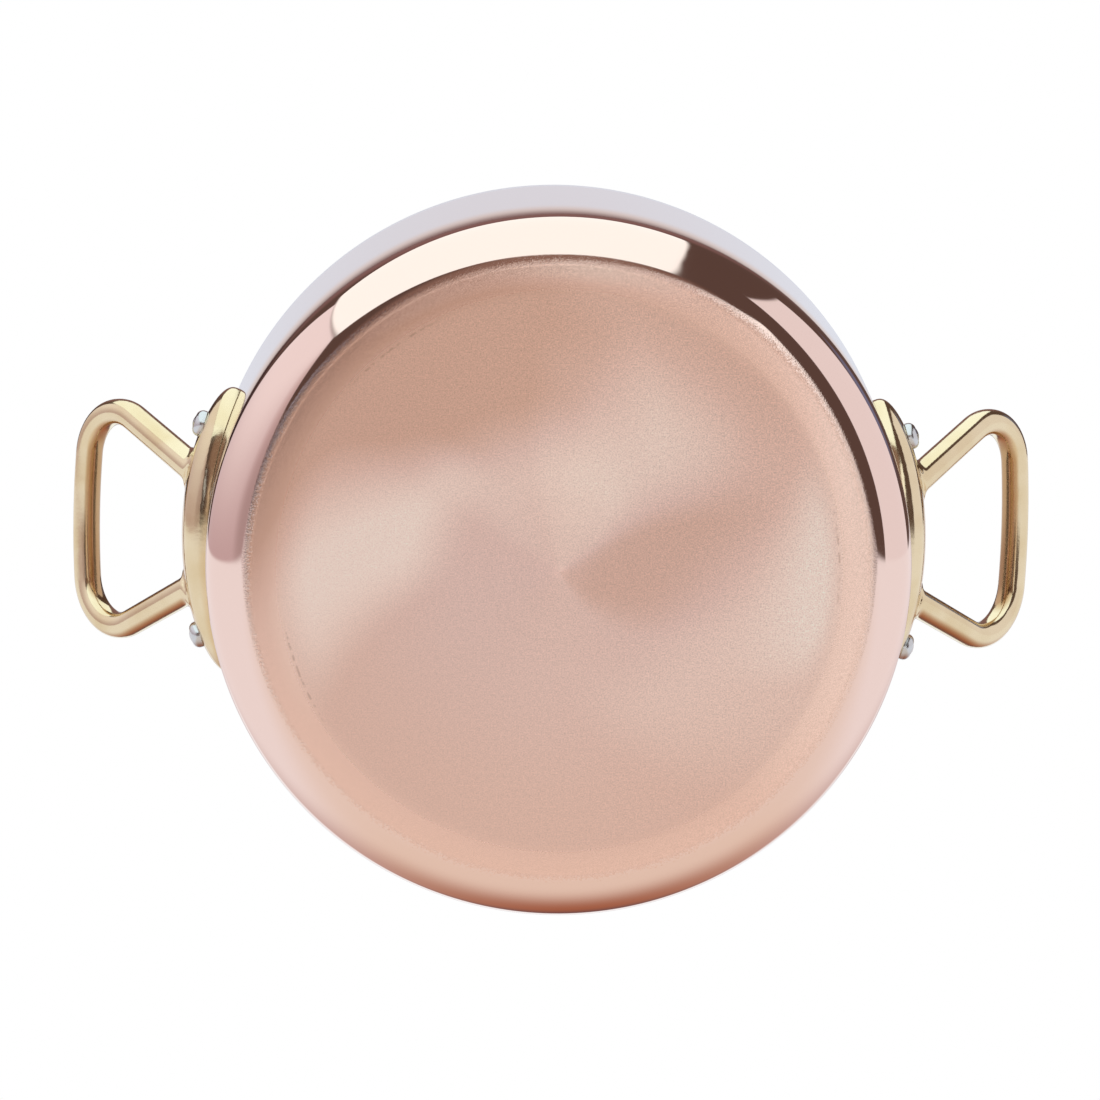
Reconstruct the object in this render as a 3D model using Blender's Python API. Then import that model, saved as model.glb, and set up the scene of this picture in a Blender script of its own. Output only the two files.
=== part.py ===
# Copper stew pan: a spun copper shell, a steel lining and two cast brass loop handles,
# each held by two steel rivets that pass through pad, shell and lining.
# Origin at the middle of the base, +Z up, the handles along +X and -X. Metres.

import math

import bmesh
import bpy
from mathutils import Matrix, Vector

# The pan
PAN_RADIUS = 0.120            # outside of the straight wall
PAN_HEIGHT = 0.120            # base to rim
CORNER_RADIUS = 0.0145        # outside of the rounded edge between base and wall
TREAD_MARGIN = 0.011          # from the flat tread of the base out to the rounded edge
BASE_RISE = 0.0003            # how far the base lifts outside its flat tread
COPPER_THICKNESS = 0.0016
LINING_THICKNESS = 0.0006
RIM_ROUNDING = 0.0003         # on the two edges of the rim

# The gap that touching pieces keep
CLEARANCE = 0.0003

# The pad of a handle, which hugs the wall
PAD_LENGTH = 0.101            # along the wall
PAD_HEIGHT = 0.026
PAD_THICKNESS = 0.0088
PAD_OUTLINE_POWER = 2.4       # 2 is an ellipse, more is squarer
PAD_DOME_POWER = 3.5          # the same for the section through its thickness
PAD_BELOW_RIM = 0.024         # middle of the pad, measured down from the rim

# The loop of a handle, in its own slanting plane
LOOP_SLOPE = math.radians(49)  # up from level
LOOP_REACH = 0.059            # from the middle of the pad's thickness to the middle of the bar
LOOP_ROOT_LIFT = 0.0015       # roots of the legs, measured up from the middle of the pad
LOOP_LEAN = 0.0013            # the castings lean this much to one side at the bar
LEG_ROOT_SPACING = 0.0408
LEG_SPLAY = math.radians(25)
LOOP_CORNER_RADIUS = 0.0173
BAR_BOW_RADIUS = 0.233        # the bar is a shallow arc
BAR_WIDTH = 0.0089            # of the section, in the plane of the loop
BAR_DEPTH = 0.0093            # of the section, square to that plane
SECTION_POWER = 2.3           # 2 is an ellipse, more is squarer
LEG_SWELL_RATIO = 1.10        # legs grow to this much of the bar where they meet the pad
ROOT_FLARE = 0.0010           # fillet where a leg runs into the pad
ROOT_FLARE_LENGTH = 0.0060

# The rivets
RIVET_FROM_PAD_END = 0.0155   # along the wall
SHANK_DIAMETER = 0.006
OUTER_HEAD_DIAMETER = 0.0093
OUTER_HEAD_HEIGHT = 0.0040
OUTER_HEAD_ROUNDING = 0.0012
INNER_HEAD_DIAMETER = 0.012
INNER_HEAD_HEIGHT = 0.0016
INNER_HEAD_EDGE = 0.0004      # straight part of that height, under the dome
SEAT_DEPTH = 0.0009           # flat cut into the domed pad under the outer head

# Facets
TURNED_SEGMENTS = 80
CORNER_STEPS = 5
RIVET_SEGMENTS = 20
INNER_DOME_STEPS = 3
HEAD_ROUNDING_STEPS = 2
RIM_ROUNDING_STEPS = 2
PAD_OUTLINE_STEPS = 40
PAD_DOME_STEPS = 6
SECTION_STEPS = 14
FLARE_STEPS = 3
LOOP_CORNER_STEPS = 8
BAR_STEPS = 6

wall_thickness = COPPER_THICKNESS + CLEARANCE + LINING_THICKNESS
pad_inner_radius = PAN_RADIUS + CLEARANCE
pad_centre_height = PAN_HEIGHT - PAD_BELOW_RIM
rivet_from_middle = PAD_LENGTH / 2 - RIVET_FROM_PAD_END
rivet_azimuth = rivet_from_middle / PAN_RADIUS
# How far along a leg, from its root in the middle of the pad's thickness, the pad's face lies
root_on_pad = PAD_THICKNESS / 2 / (math.cos(LOOP_SLOPE) * math.cos(LEG_SPLAY))


def clear_scene():
    for existing in list(bpy.data.objects):
        bpy.data.objects.remove(existing, do_unlink=True)


def metal(name, colour, roughness):
    material = bpy.data.materials.new(name)
    material.use_nodes = True
    shader = material.node_tree.nodes["Principled BSDF"]
    shader.inputs["Base Color"].default_value = (*colour, 1.0)
    shader.inputs["Roughness"].default_value = roughness
    shader.inputs["Metallic"].default_value = 1.0
    material.diffuse_color = (*colour, 1.0)
    return material


def add_object(name, bm, material, sharp_angle=math.radians(35)):
    bmesh.ops.recalc_face_normals(bm, faces=bm.faces)
    mesh = bpy.data.meshes.new(name)
    bm.to_mesh(mesh)
    bm.free()
    mesh.shade_smooth()
    mesh.set_sharp_from_angle(angle=sharp_angle)
    mesh.materials.append(material)
    piece = bpy.data.objects.new(name, mesh)
    bpy.context.collection.objects.link(piece)
    return piece


def add_tool(name, bm, material):
    tool = add_object(name, bm, material)
    tool.hide_render = True
    tool.display_type = "WIRE"
    return tool


def combine(piece, tool, operation):
    modifier = piece.modifiers.new(tool.name, "BOOLEAN")
    modifier.operation = operation
    modifier.solver = "EXACT"
    modifier.object = tool


def turned(profile, segments):
    # Spins a profile of (radius, height) points round Z. Both of its ends lie on the axis.
    bm = bmesh.new()
    verts = [bm.verts.new((radius, 0, height)) for radius, height in profile]
    edges = [bm.edges.new(pair) for pair in zip(verts, verts[1:])]
    bmesh.ops.spin(bm, geom=verts + edges, cent=(0, 0, 0), axis=(0, 0, 1),
                   angle=2 * math.pi, steps=segments, use_merge=True)
    bmesh.ops.remove_doubles(bm, verts=bm.verts, dist=1e-6)
    return bm


def arc(centre, radius, start, end, steps):
    angles = [start + (end - start) * step / steps for step in range(steps + 1)]
    return [(centre[0] + radius * math.cos(angle), centre[1] + radius * math.sin(angle))
            for angle in angles]


def wall_line(depth, rim_rounding):
    # The pan's section at a depth under its outside, from the middle of the base up to the rim.
    corner_centre = (PAN_RADIUS - CORNER_RADIUS, BASE_RISE + CORNER_RADIUS)
    line = [(0, depth), (corner_centre[0] - TREAD_MARGIN, depth)]
    line += arc(corner_centre, CORNER_RADIUS - depth, -math.pi / 2, 0, CORNER_STEPS)
    line.append((PAN_RADIUS - depth, PAN_HEIGHT - rim_rounding))
    return line


def rim_arc(radius, towards_axis):
    # Rounds a rim edge. The arc runs from the wall's side to the flat top.
    centre_radius = radius - RIM_ROUNDING if towards_axis else radius + RIM_ROUNDING
    start = 0 if towards_axis else math.pi
    return arc((centre_radius, PAN_HEIGHT - RIM_ROUNDING), RIM_ROUNDING, start, math.pi / 2,
               RIM_ROUNDING_STEPS)[1:]


def copper_shell(material, holes):
    outside = wall_line(0, RIM_ROUNDING) + rim_arc(PAN_RADIUS, True)
    inside = wall_line(COPPER_THICKNESS, 0)
    shell = add_object("copper_shell", turned(outside + inside[::-1], TURNED_SEGMENTS), material)
    combine(shell, holes, "DIFFERENCE")
    return shell


def steel_lining(material, holes):
    outside = wall_line(COPPER_THICKNESS + CLEARANCE, 0)
    inside = wall_line(wall_thickness, RIM_ROUNDING) + rim_arc(PAN_RADIUS - wall_thickness, False)
    lining = add_object("steel_lining", turned(outside + inside[::-1], TURNED_SEGMENTS), material)
    combine(lining, holes, "DIFFERENCE")
    return lining


def superellipse(angle, half_width, half_height, power):
    # An ellipse at power 2, squarer above it.
    def side(value):
        return math.copysign(abs(value) ** (2 / power), value)
    return half_width * side(math.cos(angle)), half_height * side(math.sin(angle))


def pad_share(along, up):
    # 0 in the middle of the pad's outline and 1 on it.
    terms = abs(2 * along / PAD_LENGTH) ** PAD_OUTLINE_POWER + abs(2 * up / PAD_HEIGHT) ** PAD_OUTLINE_POWER
    return terms ** (1 / PAD_OUTLINE_POWER)


def pad_rise(share):
    # Height of the dome over the wall's side of the pad.
    return PAD_THICKNESS * max(0, 1 - share ** PAD_DOME_POWER) ** (1 / PAD_DOME_POWER)


def on_wall(along, up, radius):
    azimuth = along / PAN_RADIUS
    return Vector((radius * math.cos(azimuth), radius * math.sin(azimuth), pad_centre_height + up))


def bridge(bm, rings):
    for lower, upper in zip(rings, rings[1:]):
        for index in range(len(lower)):
            following = (index + 1) % len(lower)
            bm.faces.new((lower[index], lower[following], upper[following], upper[index]))


def close_across(bm, ring):
    # Closes a ring with strips that each join a point to the one across from it.
    half = len(ring) // 2
    bm.faces.new((ring[0], ring[1], ring[-1]))
    for index in range(1, half - 1):
        bm.faces.new((ring[index], ring[index + 1], ring[-index - 1], ring[-index]))
    bm.faces.new((ring[half - 1], ring[half], ring[half + 1]))


def pad_mesh():
    # Rings of one outline that shrink as they climb the dome.
    bm = bmesh.new()
    rings = []
    for step in range(PAD_DOME_STEPS):
        climb = math.pi / 2 * step / PAD_DOME_STEPS
        share, rise = superellipse(climb, 1, PAD_THICKNESS, PAD_DOME_POWER)
        ring = []
        for index in range(PAD_OUTLINE_STEPS):
            angle = 2 * math.pi * index / PAD_OUTLINE_STEPS
            along, up = superellipse(angle, PAD_LENGTH / 2, PAD_HEIGHT / 2, PAD_OUTLINE_POWER)
            ring.append(bm.verts.new(on_wall(share * along, share * up, pad_inner_radius + rise)))
        rings.append(ring)
    bridge(bm, rings)
    close_across(bm, rings[0])
    close_across(bm, rings[-1])
    return bm


def half_loop_line():
    # Half of the loop's centreline as points (out, across), from the root of a leg to the middle
    # of the bar: a straight leg, with extra points in its flare, a corner arc and the bar's shallow arc.
    root = Vector((0, LEG_ROOT_SPACING / 2))
    leg = Vector((math.cos(LEG_SPLAY), math.sin(LEG_SPLAY)))
    inward = Vector((leg.y, -leg.x))
    bow_centre = Vector((LOOP_REACH - BAR_BOW_RADIUS, 0))
    offset = root + LOOP_CORNER_RADIUS * inward - bow_centre
    span = offset.dot(leg)
    rest = offset.length_squared - (BAR_BOW_RADIUS - LOOP_CORNER_RADIUS) ** 2
    leg_length = -span + math.sqrt(span * span - rest)
    corner_centre = root + leg_length * leg + LOOP_CORNER_RADIUS * inward
    towards_bar = corner_centre - bow_centre
    bar_angle = math.atan2(towards_bar.y, towards_bar.x)
    places = [0]
    places += [root_on_pad + ROOT_FLARE_LENGTH * step / FLARE_STEPS for step in range(FLARE_STEPS + 1)]
    places.append((places[-1] + leg_length) / 2)
    points = [root + leg * place for place in places]
    points += [Vector(point) for point in arc(corner_centre, LOOP_CORNER_RADIUS, math.pi / 2 + LEG_SPLAY,
                                              bar_angle, LOOP_CORNER_STEPS)]
    points += [Vector(point) for point in arc(bow_centre, BAR_BOW_RADIUS, bar_angle, 0, BAR_STEPS)[1:]]
    return points


def loop_sections():
    # Centre, sideways direction and half width and depth of each section, from one leg to the other.
    line = half_loop_line()
    half = []
    for index, place in enumerate(line):
        run = (line[min(index + 1, len(line) - 1)] - line[max(index - 1, 0)]).normalized()
        side = Vector((run.y, -run.x)) if index < len(line) - 1 else Vector((-1, 0))
        swell = 1 + (LEG_SWELL_RATIO - 1) * (1 - place.x / LOOP_REACH)
        from_pad = (place - line[0]).length - root_on_pad
        flare = ROOT_FLARE * min(max(1 - from_pad / ROOT_FLARE_LENGTH, 0), 1) ** 2
        half.append((place, side, BAR_WIDTH / 2 * swell + flare, BAR_DEPTH / 2 * swell + flare))
    mirror = Matrix(((1, 0), (0, -1)))
    return half + [(mirror @ place, mirror @ side, *size) for place, side, *size in half[-2::-1]]


def loop_mesh():
    bm = bmesh.new()
    out_direction = Vector((math.cos(LOOP_SLOPE), 0, math.sin(LOOP_SLOPE)))
    across_direction = Vector((0, 1, 0))
    square_direction = Vector((-math.sin(LOOP_SLOPE), 0, math.cos(LOOP_SLOPE)))
    start = Vector((pad_inner_radius + PAD_THICKNESS / 2, 0, pad_centre_height + LOOP_ROOT_LIFT))
    rings = []
    for place, side, half_width, half_depth in loop_sections():
        ring = []
        for index in range(SECTION_STEPS):
            angle = 2 * math.pi * (index + 0.5) / SECTION_STEPS
            sideways, square = superellipse(angle, half_width, half_depth, SECTION_POWER)
            out, across = place + side * sideways
            across -= LOOP_LEAN * out / LOOP_REACH
            point = start + out_direction * out + across_direction * across + square_direction * square
            ring.append(bm.verts.new(point))
        rings.append(ring)
    bridge(bm, rings)
    bm.faces.new(rings[0])
    bm.faces.new(rings[-1])
    return bm


def handle(name, angle, material, holes, seats):
    pad = add_object(name, pad_mesh(), material)
    loop = add_tool(name + "_loop", loop_mesh(), material)
    pad.rotation_euler.z = angle
    loop.rotation_euler.z = angle
    combine(pad, loop, "UNION")
    combine(pad, holes, "DIFFERENCE")
    combine(pad, seats, "DIFFERENCE")
    return pad


def seat_radius():
    # Distance from the pan's axis to the flat seat of an outer rivet head.
    return pad_inner_radius + pad_rise(pad_share(rivet_from_middle, 0)) - SEAT_DEPTH


def inner_seat_radius():
    # The inner head is flat and the lining is hollow, so the head's edge comes nearest to it.
    lining_radius = PAN_RADIUS - wall_thickness
    return math.sqrt(lining_radius ** 2 - (INNER_HEAD_DIAMETER / 2) ** 2) - CLEARANCE


def rivet_places():
    # Name, and the direction of the axis as an angle round the pan, of each rivet.
    return (
        ("rivet_right_front", -rivet_azimuth),
        ("rivet_right_back", rivet_azimuth),
        ("rivet_left_back", math.pi - rivet_azimuth),
        ("rivet_left_front", math.pi + rivet_azimuth),
    )


def rivet_matrix(azimuth):
    # Puts a shape made along Z onto a rivet's axis, with Z pointing away from the pan.
    lift = Matrix.Translation((0, 0, pad_centre_height))
    return lift @ Matrix.Rotation(azimuth, 4, "Z") @ Matrix.Rotation(math.pi / 2, 4, "Y")


def rivet_tool(name, radius, start, end, material):
    bm = bmesh.new()
    for _, azimuth in rivet_places():
        place = rivet_matrix(azimuth) @ Matrix.Translation((0, 0, (start + end) / 2))
        bmesh.ops.create_cone(bm, cap_ends=True, segments=RIVET_SEGMENTS, radius1=radius,
                              radius2=radius, depth=end - start, matrix=place)
    return add_tool(name, bm, material)


def rivet(name, azimuth, material):
    shank_radius = SHANK_DIAMETER / 2
    head_bottom = seat_radius() + CLEARANCE
    head_top = head_bottom + OUTER_HEAD_HEIGHT
    head_radius = OUTER_HEAD_DIAMETER / 2
    inner_bottom = inner_seat_radius()
    inner_radius = INNER_HEAD_DIAMETER / 2
    dome_height = INNER_HEAD_HEIGHT - INNER_HEAD_EDGE
    dome_radius = (inner_radius ** 2 + dome_height ** 2) / (2 * dome_height)
    half_angle = math.asin(inner_radius / dome_radius)
    dome_centre = (0, inner_bottom - INNER_HEAD_HEIGHT + dome_radius)
    profile = arc(dome_centre, dome_radius, -math.pi / 2, -math.pi / 2 + half_angle, INNER_DOME_STEPS)
    profile += [(inner_radius, inner_bottom), (shank_radius, inner_bottom), (shank_radius, head_bottom)]
    profile.append((head_radius, head_bottom))
    rounding_centre = (head_radius - OUTER_HEAD_ROUNDING, head_top - OUTER_HEAD_ROUNDING)
    profile += arc(rounding_centre, OUTER_HEAD_ROUNDING, 0, math.pi / 2, HEAD_ROUNDING_STEPS)
    profile.append((0, head_top))
    piece = add_object(name, turned(profile, RIVET_SEGMENTS), material)
    piece.matrix_world = rivet_matrix(azimuth)
    return piece


def build():
    clear_scene()
    copper = metal("polished_copper", (0.83, 0.52, 0.40), 0.18)
    steel = metal("lining_steel", (0.62, 0.62, 0.61), 0.30)
    brass = metal("cast_brass", (0.80, 0.62, 0.34), 0.16)
    rivet_steel = metal("rivet_steel", (0.66, 0.65, 0.66), 0.22)
    inside_of_pan = PAN_RADIUS - wall_thickness - INNER_HEAD_DIAMETER
    outside_of_pad = pad_inner_radius + PAD_THICKNESS + OUTER_HEAD_HEIGHT
    hole_radius = SHANK_DIAMETER / 2 + CLEARANCE
    seat_cutter_radius = OUTER_HEAD_DIAMETER / 2 + CLEARANCE
    holes = rivet_tool("rivet_holes", hole_radius, inside_of_pan, outside_of_pad, steel)
    seats = rivet_tool("rivet_seats", seat_cutter_radius, seat_radius(), outside_of_pad, steel)
    copper_shell(copper, holes)
    steel_lining(steel, holes)
    handle("right_handle", 0, brass, holes, seats)
    handle("left_handle", math.pi, brass, holes, seats)
    for name, azimuth in rivet_places():
        rivet(name, azimuth, rivet_steel)


build()
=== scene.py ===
# Copper stew pan with brass loop handles, dressed for a studio picture taken from below its base.
# Row frame: origin at the middle of the base, +Z up, handles along +X and -X, metres.
import math

import bmesh
import bpy
import numpy as np
from mathutils import Matrix, Vector


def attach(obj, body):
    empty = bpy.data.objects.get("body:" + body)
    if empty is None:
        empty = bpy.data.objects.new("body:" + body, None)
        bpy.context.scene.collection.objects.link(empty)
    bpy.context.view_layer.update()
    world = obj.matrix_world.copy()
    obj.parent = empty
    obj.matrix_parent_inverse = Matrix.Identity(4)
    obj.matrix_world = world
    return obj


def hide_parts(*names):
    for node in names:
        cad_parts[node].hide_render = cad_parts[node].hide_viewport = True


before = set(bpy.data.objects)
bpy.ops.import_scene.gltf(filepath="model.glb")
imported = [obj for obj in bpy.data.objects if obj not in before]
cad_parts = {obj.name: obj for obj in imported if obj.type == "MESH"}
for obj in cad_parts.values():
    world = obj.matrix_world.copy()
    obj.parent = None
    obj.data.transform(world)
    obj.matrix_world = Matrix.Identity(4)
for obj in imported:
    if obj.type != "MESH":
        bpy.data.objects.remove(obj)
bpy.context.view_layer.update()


# Shader maths

class Wire:
    # One output of a shader node. Sums on it add Math nodes.
    def __init__(self, shading, socket):
        self.shading = shading
        self.socket = socket

    def calc(self, operation, *values):
        inputs = dict(enumerate(values))
        return self.shading.add("Math", {"operation": operation}, inputs)

    def __add__(self, other):
        return self.calc("ADD", self, other)

    def __radd__(self, other):
        return self.calc("ADD", other, self)

    def __sub__(self, other):
        return self.calc("SUBTRACT", self, other)

    def __rsub__(self, other):
        return self.calc("SUBTRACT", other, self)

    def __mul__(self, other):
        return self.calc("MULTIPLY", self, other)

    def __rmul__(self, other):
        return self.calc("MULTIPLY", other, self)

    def __truediv__(self, other):
        return self.calc("DIVIDE", self, other)

    def __rtruediv__(self, other):
        return self.calc("DIVIDE", other, self)

    def __neg__(self):
        return self.calc("MULTIPLY", self, -1)

    def __abs__(self):
        return self.calc("ABSOLUTE", self)

    def root(self):
        return self.calc("SQRT", self)

    def cosine(self):
        return self.calc("COSINE", self)

    def most(self, other):
        return self.calc("MAXIMUM", self, other)

    def angleTo(self, other):
        return self.calc("ARCTAN2", self, other)

    def step(self, low, high):
        # 0 up to low and 1 from high on, with a smooth rise between
        settings = {"interpolation_type": "SMOOTHSTEP"}
        return self.shading.add("MapRange", settings, {0: self, 1: low, 2: high, 3: 0, 4: 1})


class Shading:
    # The nodes of one material or world.
    def __init__(self, owner):
        owner.use_nodes = True
        self.tree = owner.node_tree
        self.tree.nodes.clear()

    def add(self, kind, settings=None, inputs=None, output=0):
        node = self.tree.nodes.new("ShaderNode" + kind)
        for name, value in (settings or {}).items():
            setattr(node, name, value)
        for name, value in (inputs or {}).items():
            if isinstance(value, Wire):
                self.tree.links.new(value.socket, node.inputs[name])
            else:
                node.inputs[name].default_value = value
        return Wire(self, node.outputs[output]) if node.outputs else node

    def more(self, wire, name):
        # Another output of the node that a wire comes from
        return Wire(self, wire.socket.node.outputs[name])

    def mixColour(self, share, first, second, blend="MIX"):
        settings = {"data_type": "RGBA", "blend_type": blend}
        return self.add("Mix", settings, {0: share, 6: opaque(first), 7: opaque(second)}, 2)

    def tinted(self, colour, tone):
        return self.mixColour(1, colour, self.join(tone, tone, tone), "MULTIPLY")

    def parts(self, vector):
        split = self.add("SeparateXYZ", inputs={0: vector})
        return split, self.more(split, "Y"), self.more(split, "Z")

    def join(self, x, y, z):
        return self.add("CombineXYZ", inputs={0: x, 1: y, 2: z})

    def dot(self, vector, other):
        return self.add("VectorMath", {"operation": "DOT_PRODUCT"}, {0: vector, 1: other}, "Value")

    def noise(self, vector, scale, detail=2, roughness=0.5):
        inputs = {"Vector": vector, "Scale": scale, "Detail": detail, "Roughness": roughness}
        return self.add("TexNoise", {"noise_dimensions": "3D"}, inputs)

    def noiseLine(self, place, scale, detail=2, roughness=0.5):
        inputs = {"W": place, "Scale": scale, "Detail": detail, "Roughness": roughness}
        return self.add("TexNoise", {"noise_dimensions": "1D"}, inputs)

    def bump(self, height, strength, distance):
        return self.add("Bump", None, {"Strength": strength, "Distance": distance, "Height": height})

    def finish(self, surface):
        self.add("OutputMaterial", None, {"Surface": surface})


def opaque(colour):
    return colour if isinstance(colour, Wire) or len(colour) == 4 else (*colour, 1)


def newMaterial(name):
    material = bpy.data.materials.new(name)
    return material, Shading(material)


# Camera

camera = {
    "distance": 3.24,            # from the middle of the base
    "tilt": (7.45, -1.30, 1.18),  # degrees about image right, image down and the line of sight
    "scale": 2964.2,             # pixels per metre at the base
    "middle": (559.7, 571.9),    # pixel of the middle of the base
    "picture": 1100,
    "sensor": 36,
}


def makeCamera(settings):
    tiltX, tiltY, roll = (math.radians(angle) for angle in settings["tilt"])
    turn = Matrix.Rotation(roll, 3, "Z") @ Matrix.Rotation(tiltX, 3, "X") @ Matrix.Rotation(tiltY, 3, "Y")
    back = turn.transposed()
    half = settings["picture"] / 2
    offset = [(pixel - half) / settings["scale"] for pixel in settings["middle"]]
    place = -(back @ Vector((*offset, settings["distance"])))
    right, down, view = (back @ Vector(axis) for axis in ((1, 0, 0), (0, 1, 0), (0, 0, 1)))
    data = bpy.data.cameras.new("photoCamera")
    data.sensor_width = settings["sensor"]
    data.lens = settings["sensor"] * settings["scale"] * settings["distance"] / settings["picture"]
    data.clip_start = 0.05
    data.clip_end = 50
    piece = bpy.data.objects.new("photoCamera", data)
    bpy.context.collection.objects.link(piece)
    piece.matrix_world = Matrix((right, -down, -view)).transposed().to_4x4()
    piece.location = place
    bpy.context.scene.camera = piece


makeCamera(camera)
print("camera placed")


# Studio

# Directions are (azimuth, angle from straight down) in degrees. Azimuth 0 is +X and 90 is -Y.
# A card has corners, a patch is (azimuth, fromDown, inner, outer), and a side is (axis, from, to).
leftCard = ((142.0, 37.8), (173, 19.9), (219, 17.4), (215, 146), (165, 144.5), (135.2, 112))
wallSide = ((0.02, 1, 0.014), 0.092, 0.108)
overhead = (0.003, 0.012, 1)


def pair(fromDown, inner, outer):
    # Two wide patches side by side, which overlap in an upright oval
    return (-127, fromDown, inner, outer), (-43, fromDown, inner, outer)


studio = {
    "surround": (0.122, 0.080, 0.069),
    "cardEdge": 0.010,
    "layers": {
        "nearDown": {"patches": ((86, 8, 2, 16),), "colour": (0.31, 0.20, 0.165)},
        "farUp": {"patches": ((100, 156, 6, 30),), "colour": (0.25, 0.145, 0.14)},
        "window": {"patches": ((20, 133, 1, 12),), "colour": (0.19, 0.215, 0.35)},
        "nearLeft": {"patches": ((195, 11, 4, 10),), "colour": (0.06, 0.034, 0.033)},
        "glow": {"card": ((-36.9, 11), (-70, 7.2), (-48, 4.8), (-2.6, 4.4), (43.2, 13.2), (37, 22.9), (19, 18.2),
                          (-7.3, 13.4)), "colour": (1.34, 1.42, 1.45)},
        "glint": {"card": ((188.6, 7.6), (196.3, 8.65), (174.6, 16), (165, 15)), "colour": (0.80, 0.88, 1.05)},
        "farLeft": {"patches": ((178, 156, 5, 14),), "colour": (0.05, 0.03, 0.03)},
        "right": {"card": ((-25, 49), (50.3, 56.3), (46.2, 113), (-25, 130.5)), "colour": (0.98, 0.975, 1.03)},
        "front": {"card": ((59, 20.5), (92, 17.3), (141.6, 35.5), (134.2, 124.5), (110, 141.5), (85, 145),
                           (64.3, 138.5)),
                  "cut": {"card": ((59.2, 20), (65.4, 58), (65.8, 95), (64.3, 137), (50, 80))},
                  "colour": (1.32, 1.50, 1.54)},
        "left": {"card": leftCard, "colour": (1.06, 1.05, 1.12)},
        "leftTop": {"card": leftCard, "patches": ((185, 4, 8, 38),), "colour": (0.61, 0.47, 0.46)},
        "leftShade": {"card": leftCard, "sides": (((0, 1, 0), -0.48, 0.20),), "colour": (0.64, 0.52, 0.56)},
        "leftNear": {"card": leftCard, "patches": ((197, 12, 10, 40),), "sides": (((0, 1, 0), -0.15, 0.08),),
                     "colour": (0.50, 0.40, 0.42)},
        "nearWall": {"patches": ((-82, 2.2, 1.5, 4.2),), "colour": (0.82, 0.66, 0.56)},
        "wall": {"sides": (wallSide,), "colour": (1.033, 1.063, 1.126)},
        "wallPale": {"sides": (wallSide,), "patches": pair(80, 66, 94.4), "colour": (0.937, 0.855, 0.778)},
        "wallOrange": {"sides": (wallSide,), "patches": pair(112, 23, 95), "colour": (0.388, 0.103, 0.03)},
        "wallDark": {"sides": (wallSide,), "patches": pair(139, 11, 48.4), "colour": (0.03, 0.037, 0.085)},
        "wallTop": {"sides": (((0, 0, 1), 0.745, 0.805), ((0, 1, 0), 0.22, 0.42)), "colour": (1.1, 1.18, 1.24)},
        "ceiling": {"sides": ((overhead, 0.9899, 0.9925),), "colour": (0.76, 0.68, 0.66)},
        "ceilingTop": {"sides": ((overhead, 0.9921, 0.9941),), "colour": (0.755, 0.79, 0.875)},
    },
    "diffuse": 0.86,
}


def direction(azimuth, fromDown):
    azimuth, fromDown = math.radians(azimuth), math.radians(fromDown)
    out = math.sin(fromDown)
    return Vector((out * math.cos(azimuth), -out * math.sin(azimuth), -math.cos(fromDown)))


def layerShare(shading, ray, layer, softness):
    # 1 inside everything that bounds a layer
    sides = list(layer.get("sides", ()))
    corners = [direction(*corner) for corner in layer.get("card", ())]
    middle = sum(corners, Vector())
    for first, second in zip(corners, corners[1:] + corners[:1]):
        edge = first.cross(second).normalized()
        if edge.dot(middle) < 0:
            edge.negate()
        sides.append((edge, -softness, softness))
    for azimuth, fromDown, inner, outer in layer.get("patches", ()):
        limits = [math.cos(math.radians(angle)) for angle in (outer, inner)]
        sides.append((direction(azimuth, fromDown), *limits))
    share = 1
    for axis, low, high in sides:
        share = shading.dot(ray, axis).step(low, high) * share
    if "cut" in layer:
        share = (1 - layerShare(shading, ray, layer["cut"], softness)) * share
    return share


def makeWorld(settings):
    world = bpy.data.worlds.new("studioLight")
    bpy.context.scene.world = world
    shading = Shading(world)
    ray = shading.add("TexCoord", output="Generated")
    colour = settings["surround"]
    for layer in settings["layers"].values():
        share = layerShare(shading, ray, layer, settings["cardEdge"])
        colour = shading.mixColour(share, colour, layer["colour"])
    rays = shading.add("LightPath", output="Is Camera Ray")
    colour = shading.mixColour(shading.more(rays, "Is Diffuse Ray"), colour, (settings["diffuse"],) * 3)
    colour = shading.mixColour(rays, colour, (1, 1, 1))
    background = shading.add("Background", None, {"Color": colour, "Strength": 1})
    shading.add("OutputWorld", None, {"Surface": background})


floorSettings = {
    "radius": 4.0,
    "drop": 0.0004,              # below the base
    "colour": (0.93, 0.925, 0.92),
    "fade": (0.8, 3.6),
    "lampPlace": (-0.9, -0.7, 1.9),
    "lampSize": 1.1,
    "lampPower": 16,
}


def makeFloor(settings):
    bm = bmesh.new()
    bmesh.ops.create_circle(bm, cap_ends=True, segments=96, radius=settings["radius"])
    for vert in bm.verts:
        vert.co.z = -settings["drop"]
    floor = meshObject("floor", bm)
    if floor.data.polygons[0].normal.z < 0:
        floor.data.flip_normals()
    material, shading = newMaterial("paleFloor")
    place = shading.add("TexCoord", output="Object")
    x, y, z = shading.parts(place)
    far = (x * x + y * y).root().step(*settings["fade"])
    fromAbove = 1 - shading.add("NewGeometry", output="Backfacing")
    seen = shading.add("LightPath", output="Is Camera Ray") * fromAbove * (1 - far)
    clear = shading.add("BsdfTransparent")
    pale = shading.add("BsdfDiffuse", None, {"Color": opaque(settings["colour"])})
    shading.finish(shading.add("MixShader", None, {0: seen, 1: clear, 2: pale}))
    floor.data.materials.append(material)
    lamp = bpy.data.lights.new("floorLamp", "AREA")
    lamp.energy = settings["lampPower"]
    lamp.size = settings["lampSize"]
    holder = bpy.data.objects.new("floorLamp", lamp)
    bpy.context.collection.objects.link(holder)
    holder.location = settings["lampPlace"]
    holder.rotation_euler = (-holder.location).to_track_quat("-Z", "Y").to_euler()
    holder.visible_glossy = False


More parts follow.
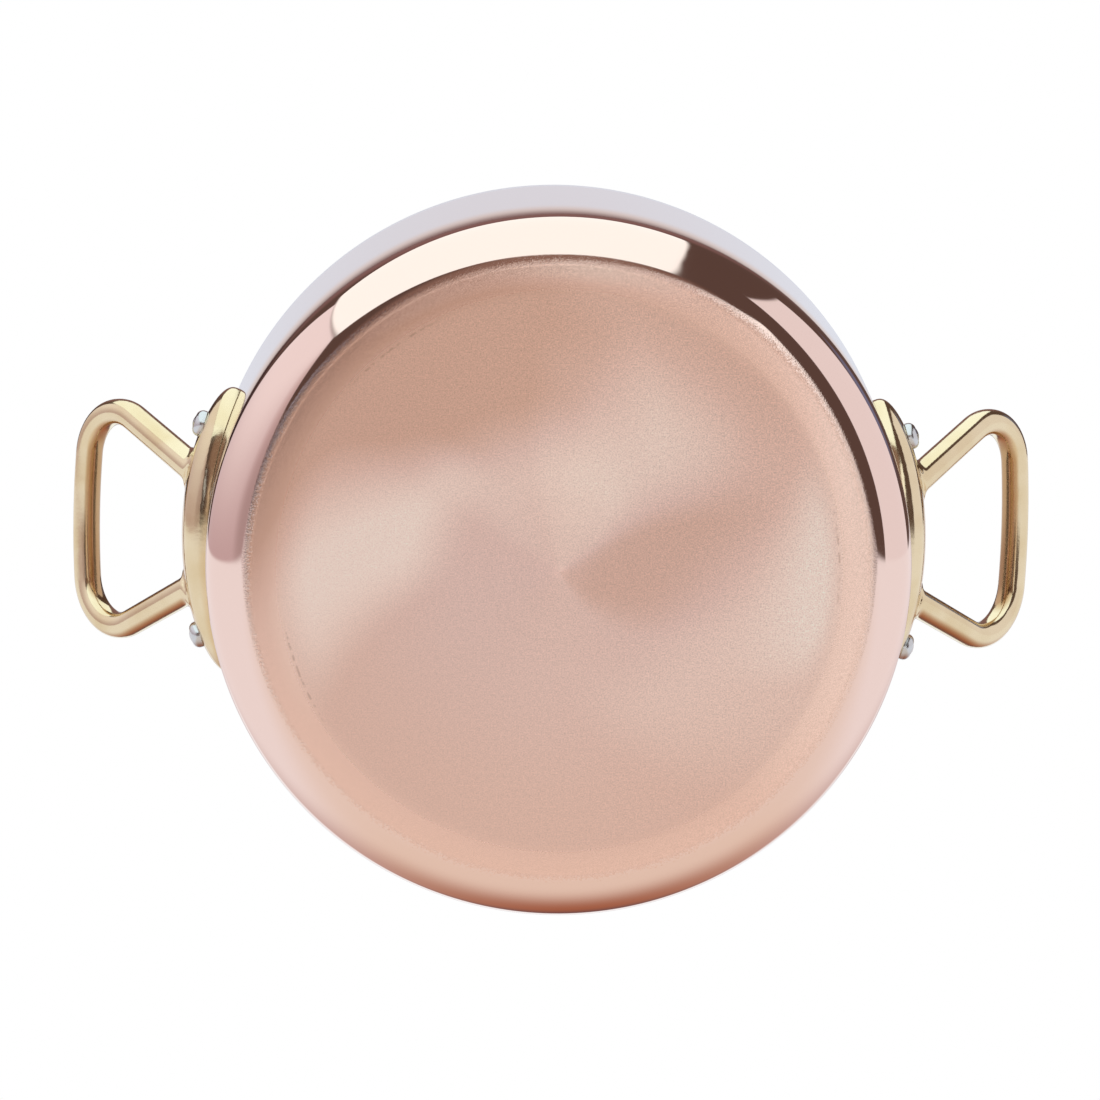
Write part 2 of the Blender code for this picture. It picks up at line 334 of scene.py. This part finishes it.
def meshObject(name, bm, sharpAngle=40):
    bmesh.ops.recalc_face_normals(bm, faces=bm.faces)
    mesh = bpy.data.meshes.new(name)
    bm.to_mesh(mesh)
    bm.free()
    mesh.shade_smooth()
    mesh.set_sharp_from_angle(angle=math.radians(sharpAngle))
    piece = bpy.data.objects.new(name, mesh)
    bpy.context.collection.objects.link(piece)
    return piece


makeWorld(studio)
makeFloor(floorSettings)
print("studio made")


# Finishes

pan = {
    "radius": 0.120,
    "height": 0.120,
    "corner": 0.0145,
    "treadMargin": 0.011,
    "baseRise": 0.0003,
    "wallBlend": 0.033,
    "wallLean": 1.0,
    "copper": 0.0016,
    "lining": 0.0006,
    "rim": 0.0003,
    "gap": 0.0003,
    "segments": 288,
    "cornerSteps": 40,
    "wallSteps": 12,
    "blendSteps": 12,
    "baseSteps": 24,
}

copperLook = {
    "matte": (0.835, 0.603, 0.533),
    "outerMatte": (0.83, 0.57, 0.475),
    # painted highlight colour of the base's fans, then the painted shade colour
    "paintedHighlight": (1.0, 0.807, 0.71),
    "paintedShade": (0.724, 0.461, 0.359),
    "polish": (0.80, 0.60, 0.525),
    "paintedHighlightRise": 0.303,          # how far the painted highlight colour rises over the matte tone
    "paintedShadeFall": 0.213,
    # Painted highlight and shade fans in the brushed base's colour: amount, azimuth, twist, half width, then
    # where each one fades in and where it fades out, as shares of the pan's radius
    "paintedSheenFans": (
        (0.32, -164, -54, 36, 0.26, 0.46, 0.69, 0.86),
        (0.40, -61, 25, 44, -0.22, 0.65, 0.41, 0.85),
        (-0.40, -111, -77, 56, 0.25, 0.53, 1.00, 1.12),
        (-0.15, -32, -107, 53, -0.10, 0.14, 0.67, 1.06),
        (0.29, -348, -51, 27, 0.44, 0.87, 0.72, 0.81),
        (0.12, -334, -71, 53, 0.24, 0.50, 0.80, 1.22),
        (0.18, -116, 22, 33, -0.17, 0.58, 0.52, 1.03),
        (0.30, -103, 0, 45, 0.79, 0.86, 0.92, 0.96),
    ),
    "matteRoughness": 0.42,
    "outerRoughness": 0.23,
    "outerRing": (0.0915, 0.0975),
    "polishRoughness": 0.045,
    "anisotropy": 0.4,
    "matteMiddle": (0.0002, -0.0003),
    "matteEdge": (0.1051, 0.1057),
    "edgeWander": (0.0012, 0.0090),
    "edgeGrain": (0.1036, 0.1046, 0.1060, 0.1078),  # where the blasted grain is half polished away
    "grainScale": (620, 1900),
    "grainTone": 1.0,
    "ringCalm": (0.45, 0.81),      # how much weaker the grain's tone and bump are on the outer ring
    "edgeBump": 2.8,
    "turningScale": (230, 1100),   # broad and fine lines of the turning
    "grainSlope": (4.5, -2.9),     # how the grain's strength changes along X and Y, per metre
    "treadRing": 0.0945,
    "treadMarks": (-5, -203, -128),  # azimuths of the faint worn arcs
    "markScale": 420,
    "markColour": (0.40, 0.24, 0.18),
    "markShare": 0.45,
    "polishStart": (0.0010, 0.0016),  # height from which all is polished
    "bump": (0.3, 0.00005),
}


def paintedSheenTone(shading, azimuth, reach, paintedSheenFans):
    # Painted highlight and shade fans: brightness of the brushed base beside its matte tone
    share = reach / pan["radius"]
    tone = 0
    for amount, middle, twist, width, riseFrom, riseTo, fallFrom, fallTo in paintedSheenFans:
        turn = azimuth - math.radians(middle) - math.radians(twist) * (share - 0.5)
        fan = turn.cosine().step(math.cos(math.radians(width)), 1)
        fan = fan * share.step(riseFrom, riseTo) * (1 - share.step(fallFrom, fallTo))
        tone = amount * fan + tone
    return tone


def copperMaterial(settings):
    material, shading = newMaterial("brushedAndPolishedCopper")
    place = shading.add("TexCoord", output="Object")
    x, y, z = shading.parts(place)
    reach = (x * x + y * y).root()
    azimuth = y.angleTo(x)
    coarse, grain = (shading.noise(place, scale, 2, 0.7) for scale in settings["grainScale"])
    wideScale, fineScale = settings["turningScale"]
    wide = shading.noiseLine(reach, wideScale, 2)
    rings = shading.noiseLine(reach, fineScale, 3, 0.6)
    acrossX, acrossY = (part - middle for part, middle in zip((x, y), settings["matteMiddle"]))
    matteReach = (acrossX * acrossX + acrossY * acrossY).root()
    wander = (coarse - 0.5) * settings["edgeWander"][0] + (grain - 0.5) * settings["edgeWander"][1]
    polished = (matteReach + wander).step(*settings["matteEdge"])
    polished = polished.most(z.step(*settings["polishStart"]))
    matte = 1 - polished
    # worn arcs where the tread ends
    broken = shading.noise(place, settings["markScale"], 3).step(0.45, 0.6)
    line = 1 - abs(reach - settings["treadRing"]).step(0.0001, 0.0006)
    near = 0
    for middle in settings["treadMarks"]:
        near = (azimuth - math.radians(middle)).cosine().step(0.975, 0.995) + near
    marks = line * broken * near * matte
    inner = (1 - reach.step(0.006, 0.05)) * matte
    # painted highlight and shade fans, mixed into the copper's colour as lighter and darker sectors
    paintedSheenFans = paintedSheenTone(shading, azimuth, reach, settings["paintedSheenFans"])
    colour = shading.mixColour(reach.step(0.03, 0.095), settings["matte"], settings["outerMatte"])
    colour = shading.mixColour(paintedSheenFans / settings["paintedHighlightRise"], colour, settings["paintedHighlight"])
    colour = shading.mixColour(-paintedSheenFans / settings["paintedShadeFall"], colour, settings["paintedShade"])
    slopeX, slopeY = settings["grainSlope"]
    calmTone, calmBump = settings["ringCalm"]
    ring = reach.step(*settings["outerRing"])
    strength = settings["grainTone"] * (1 + x * slopeX + y * slopeY) * (1 - calmTone * ring)
    tone = 1 + (0.8 * (grain - 0.5) + 0.2 * (coarse - 0.5)) * strength
    tone = tone + 0.04 * (rings - 0.5) + 0.08 * (wide - 0.5) * inner + 0.06 * (1 - reach.step(0.0008, 0.0045))
    colour = shading.tinted(colour, tone)
    colour = shading.mixColour(marks * settings["markShare"], colour, settings["markColour"])
    colour = shading.mixColour(polished, colour, settings["polish"])
    outer = ring * (settings["outerRoughness"] - settings["matteRoughness"])
    rough = settings["matteRoughness"] + outer + 0.08 * (grain - 0.5) + 0.05 * (rings - 0.5)
    roughness = (rough * rough * matte + settings["polishRoughness"] ** 2 * polished).root()
    riseFrom, riseTo, fallFrom, fallTo = settings["edgeGrain"]
    worn = reach.step(riseFrom, riseTo) * (1 - reach.step(fallFrom, fallTo))
    height = (0.6 * grain + 0.4 * rings) * matte * (1 - calmBump * ring) + settings["edgeBump"] * grain * worn
    normal = shading.bump(height, *settings["bump"])
    inputs = {"Base Color": colour, "Metallic": 1, "Roughness": roughness, "Normal": normal,
              "Anisotropic": settings["anisotropy"], "Anisotropic Rotation": 0.25}
    shading.finish(shading.add("BsdfPrincipled", None, inputs))
    return material


liningLook = {
    "colour": (0.78, 0.775, 0.77),
    "roughness": 0.27,
    "anisotropy": 0.7,
    "lineScale": 2600,
    "cloudScale": 30,
    "bump": (0.25, 0.00004),
}


def liningMaterial(settings):
    material, shading = newMaterial("brushedSteelLining")
    place = shading.add("TexCoord", output="Object")
    x, y, z = shading.parts(place)
    reach = (x * x + y * y).root()
    lines = shading.noiseLine(reach + z, settings["lineScale"], 3, 0.65)
    cloud = shading.noise(place, settings["cloudScale"], 3)
    tone = 0.95 + 0.07 * lines + 0.04 * cloud
    colour = shading.tinted(settings["colour"], tone)
    roughness = settings["roughness"] + 0.10 * (lines - 0.5) + 0.06 * (cloud - 0.5)
    normal = shading.bump(lines, *settings["bump"])
    inputs = {"Base Color": colour, "Metallic": 1, "Roughness": roughness, "Normal": normal,
              "Anisotropic": settings["anisotropy"], "Anisotropic Rotation": 0.25}
    shading.finish(shading.add("BsdfPrincipled", None, inputs))
    return material


brassLook = {
    "colour": (0.735, 0.605, 0.405),
    "deep": (0.63, 0.475, 0.265),
    # painted reflection of the copper wall on the bars' faces towards the pan
    "inside": (0.42, 0.23, 0.095),
    "paintedReflectionShare": 0.8,
    # painted shade colour along the joint with the wall
    "paintedJointShade": (0.28, 0.19, 0.10),
    "paintedJointReach": (0.1201, 0.1203),
    "roughness": 0.11,
    "cloudScale": 60,
    "fineScale": 900,
    "smearScale": 190,
    "bump": (0.25, 0.0002),
}


def brassMaterial(settings, slope):
    material, shading = newMaterial("polishedCastBrass")
    place = shading.add("TexCoord", output="Object")
    x, y, z = shading.parts(place)
    across, along, up = shading.parts(shading.add("NewGeometry", output="Normal"))
    # painted reflection: the bars' faces towards the pan are coloured a darker brown, standing in for the copper
    # wall they mirror, and are a little rougher
    towardsPan = -(across * x.calc("SIGN", x) * math.cos(slope) + up * math.sin(slope))
    inside = towardsPan.step(0.55, 0.85) * abs(x).step(0.140, 0.150) * settings["paintedReflectionShare"]
    # painted shade along the joint where the back lies on the wall: a dark colour, with a rougher finish
    paintedJointShade = 1 - (x * x + y * y).root().step(*settings["paintedJointReach"])
    cloud = shading.noise(place, settings["cloudScale"], 3)
    fine = shading.noise(place, settings["fineScale"], 3, 0.6)
    smear = shading.noise(place, settings["smearScale"], 2)
    colour = shading.mixColour(cloud.step(0.35, 0.75), settings["colour"], settings["deep"])
    colour = shading.mixColour(0.35, colour, settings["colour"])
    # painted reflection on the faces towards the pan
    colour = shading.mixColour(inside, colour, settings["inside"])
    # painted shade along the joint with the wall
    colour = shading.mixColour(paintedJointShade, colour, settings["paintedJointShade"])
    roughness = (settings["roughness"] + 0.06 * smear.step(0.5, 0.8) + 0.03 * (fine - 0.5) + 0.08 * inside
                 + 0.4 * paintedJointShade)
    normal = shading.bump(0.85 * cloud + 0.15 * fine, *settings["bump"])
    inputs = {"Base Color": colour, "Metallic": 1, "Roughness": roughness, "Normal": normal}
    shading.finish(shading.add("BsdfPrincipled", None, inputs))
    return material


rivetLook = {
    "colour": (0.57, 0.565, 0.565),
    "roughness": 0.20,
    "fineScale": 1500,
    "cloudScale": 300,
    "bump": (0.3, 0.00005),
}


def rivetMaterial(settings):
    material, shading = newMaterial("setSteelRivet")
    place = shading.add("TexCoord", output="Object")
    fine = shading.noise(place, settings["fineScale"], 3, 0.6)
    cloud = shading.noise(place, settings["cloudScale"], 2)
    tone = 0.93 + 0.12 * cloud
    colour = shading.tinted(settings["colour"], tone)
    roughness = settings["roughness"] + 0.10 * (fine - 0.5) + 0.08 * (cloud - 0.5)
    normal = shading.bump(fine, *settings["bump"])
    inputs = {"Base Color": colour, "Metallic": 1, "Roughness": roughness, "Normal": normal}
    shading.finish(shading.add("BsdfPrincipled", None, inputs))
    return material


copper = copperMaterial(copperLook)
liningSteel = liningMaterial(liningLook)
rivetSteel = rivetMaterial(rivetLook)
print("finishes made")


# Turned pieces

def bridge(bm, rings):
    for lower, upper in zip(rings, rings[1:]):
        for index in range(len(lower)):
            following = (index + 1) % len(lower)
            bm.faces.new((lower[index], lower[following], upper[following], upper[index]))


def closeRing(bm, ring, place):
    middle = bm.verts.new(place)
    for index, vert in enumerate(ring):
        bm.faces.new((vert, ring[(index + 1) % len(ring)], middle))


def turned(profile, segments):
    # Spins (radius, height) points round Z. Both ends lie on the axis, and a repeated point counts once.
    bm = bmesh.new()
    angles = [2 * math.pi * step / segments for step in range(segments)]
    rings = []
    for before, (radius, height) in zip(profile, profile[1:-1]):
        if math.dist(before, (radius, height)) > 1e-7:
            rings.append([bm.verts.new((radius * math.cos(angle), radius * math.sin(angle), height))
                          for angle in angles])
    bridge(bm, rings)
    for ring, (radius, height) in ((rings[0], profile[0]), (rings[-1], profile[-1])):
        closeRing(bm, ring, (0, 0, height))
    return bm


def arcPoints(centre, radius, start, end, steps):
    angles = [start + (end - start) * step / steps for step in range(steps + 1)]
    return [(centre[0] + radius * math.cos(angle), centre[1] + radius * math.sin(angle))
            for angle in angles]


def wallLine(depth):
    # The section at a depth under the outside, from the middle of the base to just under the rim.
    # Outside the flat tread the base rises as a parabola that runs into the corner's arc,
    # and a second parabola leads from the arc into the straight wall.
    tread = pan["radius"] - pan["corner"] - pan["treadMargin"]
    lean = math.atan(2 * pan["baseRise"] / pan["treadMargin"])
    wallLean = math.radians(pan["wallLean"])
    inset = pan["wallBlend"] * math.tan(wallLean) / 2
    arc = (pan["corner"] - inset) / (math.cos(wallLean) - math.sin(lean))
    centre = (pan["radius"] - inset - arc * math.cos(wallLean), pan["baseRise"] + arc * math.cos(lean))
    line = [(tread * step / pan["baseSteps"], depth) for step in range(pan["baseSteps"])]
    for step in range(pan["blendSteps"]):
        share = step / pan["blendSteps"]
        turn = math.atan(math.tan(lean) * share)
        line.append((tread + pan["treadMargin"] * share - depth * math.sin(turn),
                     pan["baseRise"] * share * share + depth * math.cos(turn)))
    line += arcPoints(centre, arc - depth, lean - math.pi / 2, -wallLean, pan["cornerSteps"])
    low = centre[1] - arc * math.sin(wallLean)
    for step in range(1, pan["blendSteps"] + 1):
        share = 1 - step / pan["blendSteps"]
        turn = math.atan(math.tan(wallLean) * share)
        line.append((pan["radius"] - inset * share * share - depth * math.cos(turn),
                     low + pan["wallBlend"] * (1 - share) + depth * math.sin(turn)))
    low += pan["wallBlend"]
    top = pan["height"] - pan["rim"]
    for step in range(1, pan["wallSteps"] + 1):
        line.append((pan["radius"] - depth, low + (top - low) * step / pan["wallSteps"]))
    return line


def rimArc(radius, towardsAxis):
    centre = radius - pan["rim"] if towardsAxis else radius + pan["rim"]
    start = 0 if towardsAxis else math.pi
    return arcPoints((centre, pan["height"] - pan["rim"]), pan["rim"], start, math.pi / 2, 4)[1:]


def skin(name, outer, inner, material, node):
    outside = wallLine(outer) + rimArc(pan["radius"] - outer, True)
    inside = wallLine(inner) + rimArc(pan["radius"] - inner, False)
    piece = meshObject(name, turned(outside + inside[::-1], pan["segments"]))
    piece.data.materials.append(material)
    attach(piece, "root")
    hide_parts(node)
    return piece


copperBody = skin("copperBody", 0, pan["copper"], copper, "copper_shell")
liningOut = pan["copper"] + pan["gap"]
steelInside = skin("steelInside", liningOut, liningOut + pan["lining"], liningSteel, "steel_lining")
print("copper body and steel inside made")


# Handles

handleShape = {
    "padLength": 0.101,
    "padHeight": 0.026,
    "padThickness": 0.0088,
    "padOutline": 2.4,
    "padDome": 3.0,
    "padGap": 0.00005,
    "padCut": 0.0015,            # how far the pad first reaches into the wall, before it is cut to it
    "padBelowRim": 0.024,
    "slope": 49,
    "reach": 0.05898,
    "rootLift": 0.0015,
    "lean": 0.0013,
    "rootSpacing": 0.0408,
    "splay": 25,
    "cornerRadius": 0.0173,
    "bowRadius": 0.233,
    "barWidth": 0.0089,
    "barDepth": 0.0093,
    "sectionPower": 2.2,
    "swell": 1.10,
    "fillet": 0.0021,
    "voxel": 0.00045,
    "filletReach": 0.0016,
    "filletPasses": 14,
    "polishPasses": 10,
}

rivetShape = {
    "fromPadEnd": 0.0155,
    "shank": 0.0030,
    "head": 0.00465,
    "headHeight": 0.0040,
    "headRounding": 0.0025,
    "headCrown": 0.0005,
    "innerHead": 0.0060,
    "innerHeight": 0.0016,
    "innerEdge": 0.0004,
    "seatEdge": 0.0002,
    "seat": 0.0009,
    "segments": 72,
}

padInner = pan["radius"] + pan["gap"]
padBack = pan["radius"] + handleShape["padGap"]
padMiddle = pan["height"] - handleShape["padBelowRim"]
rivetAlong = handleShape["padLength"] / 2 - rivetShape["fromPadEnd"]
rivetAngle = rivetAlong / pan["radius"]


def superellipse(angle, halfWidth, halfHeight, power):
    def side(value):
        return math.copysign(abs(value) ** (2 / power), value)
    return halfWidth * side(math.cos(angle)), halfHeight * side(math.sin(angle))


def padRise(along, up):
    shape = handleShape
    outline = (np.abs(2 * along / shape["padLength"]) ** shape["padOutline"]
               + np.abs(2 * up / shape["padHeight"]) ** shape["padOutline"]) ** (1 / shape["padOutline"])
    return shape["padThickness"] * np.maximum(0, 1 - outline ** shape["padDome"]) ** (1 / shape["padDome"])


def addPad(bm, outlineSteps=200, domeSteps=28):
    # Rings of (share of the outline, rise): first the back, which is cut to the wall later, then the dome
    shape = handleShape
    levels = [(share, -shape["padCut"]) for share in (0.2, 0.4, 0.6, 0.8, 1)]
    levels += [superellipse(math.pi / 2 * step / domeSteps, 1, shape["padThickness"], shape["padDome"])
               for step in range(domeSteps)]
    rings = []
    for share, rise in levels:
        ring = []
        for index in range(outlineSteps):
            along, up = superellipse(2 * math.pi * index / outlineSteps, shape["padLength"] / 2,
                                     shape["padHeight"] / 2, shape["padOutline"])
            azimuth = share * along / pan["radius"]
            radius = padInner + rise
            ring.append(bm.verts.new((radius * math.cos(azimuth), radius * math.sin(azimuth),
                                      padMiddle + share * up)))
        rings.append(ring)
    bridge(bm, rings)
    for ring, radius in ((rings[0], padInner - shape["padCut"]), (rings[-1], padInner + shape["padThickness"])):
        closeRing(bm, ring, (radius, 0, padMiddle))


def offPad(points):
    # How far points lie outside the pad's surface, measured along the pan's radius
    azimuth = np.arctan2(points[:, 1], points[:, 0])
    rise = padRise(azimuth * pan["radius"], points[:, 2] - padMiddle)
    return np.hypot(points[:, 0], points[:, 1]) - padInner - rise


def halfLoop():
    # Centreline (out, across) from the root of a leg to the middle of the bar.
    shape = handleShape
    splay = math.radians(shape["splay"])
    root = Vector((0, shape["rootSpacing"] / 2))
    leg = Vector((math.cos(splay), math.sin(splay)))
    inward = Vector((leg.y, -leg.x))
    bowCentre = Vector((shape["reach"] - shape["bowRadius"], 0))
    offset = root + shape["cornerRadius"] * inward - bowCentre
    span = offset.dot(leg)
    rest = offset.length_squared - (shape["bowRadius"] - shape["cornerRadius"]) ** 2
    legLength = -span + math.sqrt(span * span - rest)
    cornerCentre = root + legLength * leg + shape["cornerRadius"] * inward
    towardsBar = cornerCentre - bowCentre
    barAngle = math.atan2(towardsBar.y, towardsBar.x)
    points = [root + leg * legLength * step / 110 for step in range(110)]
    points += [Vector(point) for point in arcPoints(cornerCentre, shape["cornerRadius"],
                                                    math.pi / 2 + splay, barAngle, 36)]
    points += [Vector(point) for point in arcPoints(bowCentre, shape["bowRadius"], barAngle, 0, 24)[1:]]
    return points


def loopAxes():
    slope = math.radians(handleShape["slope"])
    start = Vector((padInner + handleShape["padThickness"] / 2, 0, padMiddle + handleShape["rootLift"]))
    outward = Vector((math.cos(slope), 0, math.sin(slope)))
    square = Vector((-math.sin(slope), 0, math.cos(slope)))
    return start, outward, square


def addLoop(bm, sectionSteps=72):
    # Sections square to the loop's line. Close to the pad they widen into a fillet.
    shape = handleShape
    line = halfLoop()
    sections = []
    for index, place in enumerate(line):
        run = (line[min(index + 1, len(line) - 1)] - line[max(index - 1, 0)]).normalized()
        side = Vector((run.y, -run.x)) if index < len(line) - 1 else Vector((-1, 0))
        swell = 1 + (shape["swell"] - 1) * (1 - place.x / shape["reach"])
        sections.append((place, side, swell))
    flip = Matrix(((1, 0), (0, -1)))
    sections += [(flip @ place, flip @ side, swell) for place, side, swell in sections[-2::-1]]
    start, outward, square = loopAxes()
    rings = []
    for place, side, swell in sections:
        def onLoop(sideways, above):
            out, across = place + side * sideways
            across -= shape["lean"] * out / shape["reach"]
            return np.array(start + outward * out + Vector((0, across, 0)) + square * above)
        middle = onLoop(0, 0)
        points = np.array([onLoop(*superellipse(2 * math.pi * index / sectionSteps, shape["barWidth"] / 2 * swell,
                                                shape["barDepth"] / 2 * swell, shape["sectionPower"]))
                           for index in range(sectionSteps)])
        left = np.clip(shape["fillet"] - offPad(points), 0, shape["fillet"])
        widen = shape["fillet"] - np.sqrt(shape["fillet"] ** 2 - left ** 2)
        spokes = points - middle
        points = points + spokes / np.linalg.norm(spokes, axis=1)[:, None] * widen[:, None]
        rings.append([bm.verts.new(point) for point in points])
    bridge(bm, rings)
    bm.faces.new(rings[0])
    bm.faces.new(rings[-1])


def modified(piece, kind, **settings):
    modifier = piece.modifiers.new(kind, kind)
    for name, value in settings.items():
        setattr(modifier, name, value)
    bpy.context.view_layer.update()
    seen = piece.evaluated_get(bpy.context.evaluated_depsgraph_get())
    mesh = bpy.data.meshes.new_from_object(seen)
    piece.modifiers.clear()
    old = piece.data
    piece.data = mesh
    bpy.data.meshes.remove(old)


def smoothed(mesh, passes, weights=None):
    # Moves each vertex towards the middle of its neighbours.
    count = len(mesh.vertices)
    points = np.empty(count * 3)
    mesh.vertices.foreach_get("co", points)
    points = points.reshape(-1, 3)
    ends = np.empty(len(mesh.edges) * 2, dtype=np.int64)
    mesh.edges.foreach_get("vertices", ends)
    first, second = ends.reshape(-1, 2).T
    degree = np.bincount(ends, minlength=count)[:, None]
    share = 0.5 if weights is None else 0.5 * weights[:, None]
    for turn in range(passes):
        total = np.stack([np.bincount(first, points[second, axis], count)
                          + np.bincount(second, points[first, axis], count) for axis in range(3)], 1)
        step = total / degree - points
        if weights is None and turn % 2:
            step = -1.03 * step                    # every second pass swells back, so that nothing shrinks
        points = points + share * step
    mesh.vertices.foreach_set("co", points.ravel())
    mesh.update()


def filletWeights(mesh):
    # 1 where a leg runs into the pad, falling to 0 a few millimetres away
    points = np.empty(len(mesh.vertices) * 3)
    mesh.vertices.foreach_get("co", points)
    points = points.reshape(-1, 3)
    start, outward, square = loopAxes()
    shape = handleShape
    splay = math.radians(shape["splay"])
    nearest = np.full(len(points), np.inf)
    for side in (-1, 1):
        root = np.array(start) + np.array((0, side * shape["rootSpacing"] / 2, 0))
        leg = np.array(outward) * math.cos(splay) + np.array((0, side * math.sin(splay), 0))
        offset = points - root
        apart = np.linalg.norm(offset - np.outer(offset @ leg, leg), axis=1)
        nearest = np.minimum(nearest, apart)
    fromLeg = nearest - shape["barWidth"] / 2 - shape["fillet"]
    apart = np.maximum(np.abs(offPad(points)), np.maximum(fromLeg, 0)) / shape["filletReach"]
    share = np.clip(2 - apart, 0, 1)
    return share * share * (3 - 2 * share)


def rivetMatrix(azimuth):
    return (Matrix.Translation((0, 0, padMiddle)) @ Matrix.Rotation(azimuth, 4, "Z")
            @ Matrix.Rotation(math.pi / 2, 4, "Y"))


def seatRadius():
    return padInner + float(padRise(np.array(rivetAlong), np.array(0.0))) - rivetShape["seat"]


def rivetCutter(radius, start, end):
    bm = bmesh.new()
    for side in (-1, 1):
        place = rivetMatrix(side * rivetAngle) @ Matrix.Translation((0, 0, (start + end) / 2))
        bmesh.ops.create_cone(bm, cap_ends=True, segments=64, radius1=radius, radius2=radius,
                              depth=end - start, matrix=place)
    return meshObject("cutter", bm)


def wallCutter():
    bm = bmesh.new()
    bmesh.ops.create_cone(bm, cap_ends=True, segments=720, radius1=padBack, radius2=padBack,
                          depth=0.06, matrix=Matrix.Translation((0, 0, padMiddle)))
    return meshObject("cutter", bm)


def makeHandle():
    bm = bmesh.new()
    addPad(bm)
    addLoop(bm)
    piece = meshObject("rightHandle", bm)
    modified(piece, "REMESH", mode="VOXEL", voxel_size=handleShape["voxel"], adaptivity=0)
    smoothed(piece.data, handleShape["polishPasses"])
    smoothed(piece.data, handleShape["filletPasses"], filletWeights(piece.data))
    outer = padInner + handleShape["padThickness"] + rivetShape["headHeight"]
    cutters = [
        wallCutter(),
        rivetCutter(rivetShape["head"] + pan["gap"], seatRadius(), outer),
        rivetCutter(rivetShape["shank"] + pan["gap"], pan["radius"] - 0.002, outer),
    ]
    for cutter in cutters:
        modified(piece, "BOOLEAN", operation="DIFFERENCE", solver="EXACT", object=cutter)
        bpy.data.objects.remove(cutter)
    piece.data.shade_smooth()
    piece.data.set_sharp_from_angle(angle=math.radians(40))
    return piece


brass = brassMaterial(brassLook, math.radians(handleShape["slope"]))
rightHandle = makeHandle()
leftHandle = bpy.data.objects.new("leftHandle", rightHandle.data.copy())
bpy.context.collection.objects.link(leftHandle)
leftHandle.data.transform(Matrix.Rotation(math.pi, 4, "Z"))
for piece, node in ((rightHandle, "right_handle"), (leftHandle, "left_handle")):
    piece.data.materials.clear()
    piece.data.materials.append(brass)
    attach(piece, "root")
    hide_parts(node)
print("handles made:", len(rightHandle.data.polygons), "faces each")


# Rivets

def makeRivet(name, azimuth, node):
    shape = rivetShape
    bottom = seatRadius() + pan["gap"]
    top = bottom + shape["headHeight"]
    liningRadius = pan["radius"] - liningOut - pan["lining"]
    innerBottom = math.sqrt(liningRadius ** 2 - shape["innerHead"] ** 2) - pan["gap"]
    domeHeight = shape["innerHeight"] - shape["innerEdge"]
    domeRadius = (shape["innerHead"] ** 2 + domeHeight ** 2) / (2 * domeHeight)
    half = math.asin(shape["innerHead"] / domeRadius)
    domeCentre = (0, innerBottom - shape["innerHeight"] + domeRadius)
    profile = arcPoints(domeCentre, domeRadius, -math.pi / 2, -math.pi / 2 + half, 16)
    profile += [(shape["innerHead"], innerBottom), (shape["shank"], innerBottom), (shape["shank"], bottom)]
    profile += [(shape["head"] - shape["seatEdge"], bottom), (shape["head"], bottom + shape["seatEdge"])]
    crownEdge = top - shape["headCrown"]
    rounding = (shape["head"] - shape["headRounding"], crownEdge - shape["headRounding"])
    profile += arcPoints(rounding, shape["headRounding"], 0, math.pi / 2, 14)
    for step in range(1, 9):                      # a slight crown
        share = 1 - step / 8
        profile.append((rounding[0] * share, crownEdge + shape["headCrown"] * (1 - share * share)))
    piece = meshObject(name, turned(profile, shape["segments"]))
    piece.data.transform(rivetMatrix(azimuth))
    piece.data.materials.append(rivetSteel)
    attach(piece, "root")
    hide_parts(node)


makeRivet("rivetRightFront", -rivetAngle, "rivet_right_front")
makeRivet("rivetRightBack", rivetAngle, "rivet_right_back")
makeRivet("rivetLeftBack", math.pi - rivetAngle, "rivet_left_back")
makeRivet("rivetLeftFront", math.pi + rivetAngle, "rivet_left_front")
print("rivets made")

bpy.context.scene.view_settings.view_transform = "Standard"
